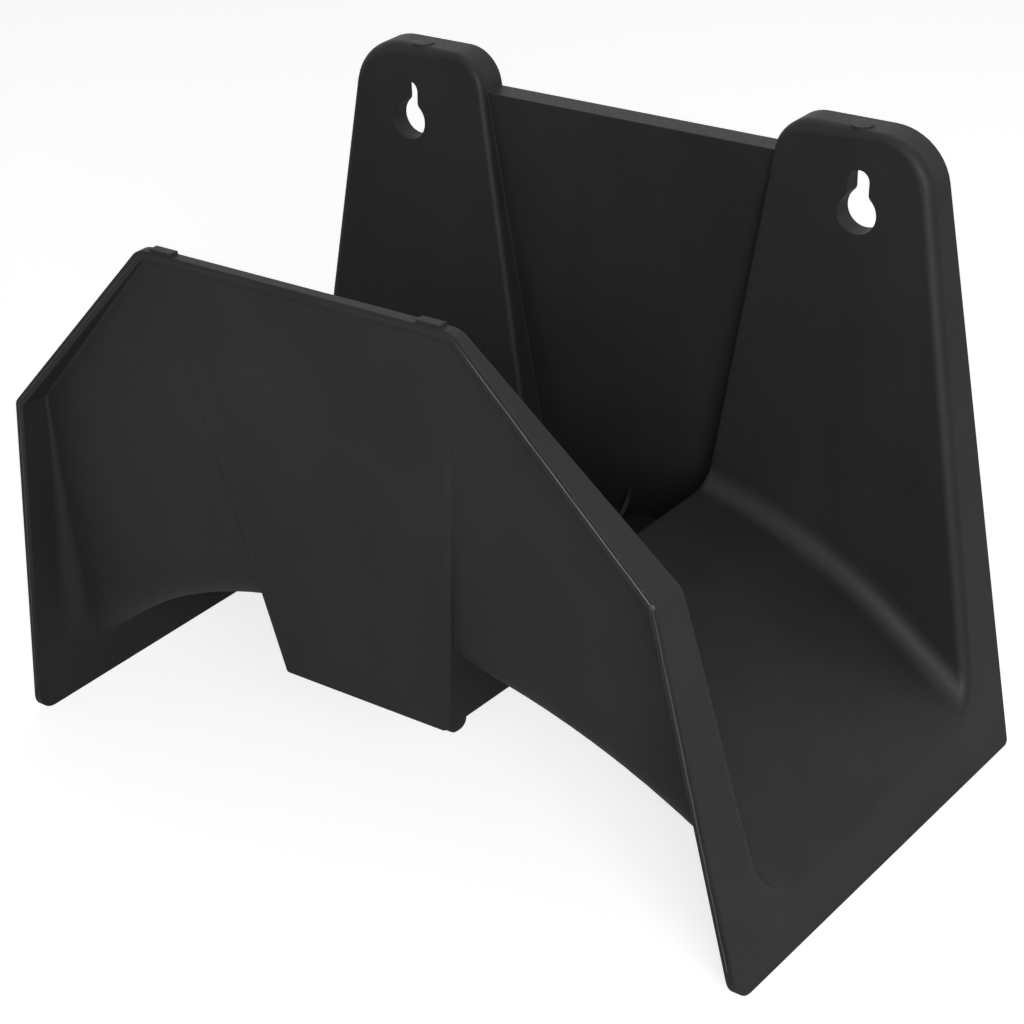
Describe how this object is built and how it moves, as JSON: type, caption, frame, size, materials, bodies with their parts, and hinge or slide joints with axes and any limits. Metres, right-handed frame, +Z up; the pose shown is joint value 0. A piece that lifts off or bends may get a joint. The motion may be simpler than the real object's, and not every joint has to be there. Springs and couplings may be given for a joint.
{
  "type": "hose hanger",
  "caption": "Wall-mounted garden hose hanger moulded in one piece: arched saddle between a recessed front plate and two keyholed ears, with an open pocket in the middle.",
  "frame": {"origin": "on the wall's plane, midway between the end flanges, at the height of their rear feet", "axes": "+Z up, +Y into the wall, +X to the right for someone facing the wall"},
  "size_m": [0.2998, 0.187, 0.2173],
  "materials": {
    "body_plastic": "satin"
  },
  "bodies": {
    "root": {"hanger_shell": "body_plastic"}
  },
  "joints": []
}
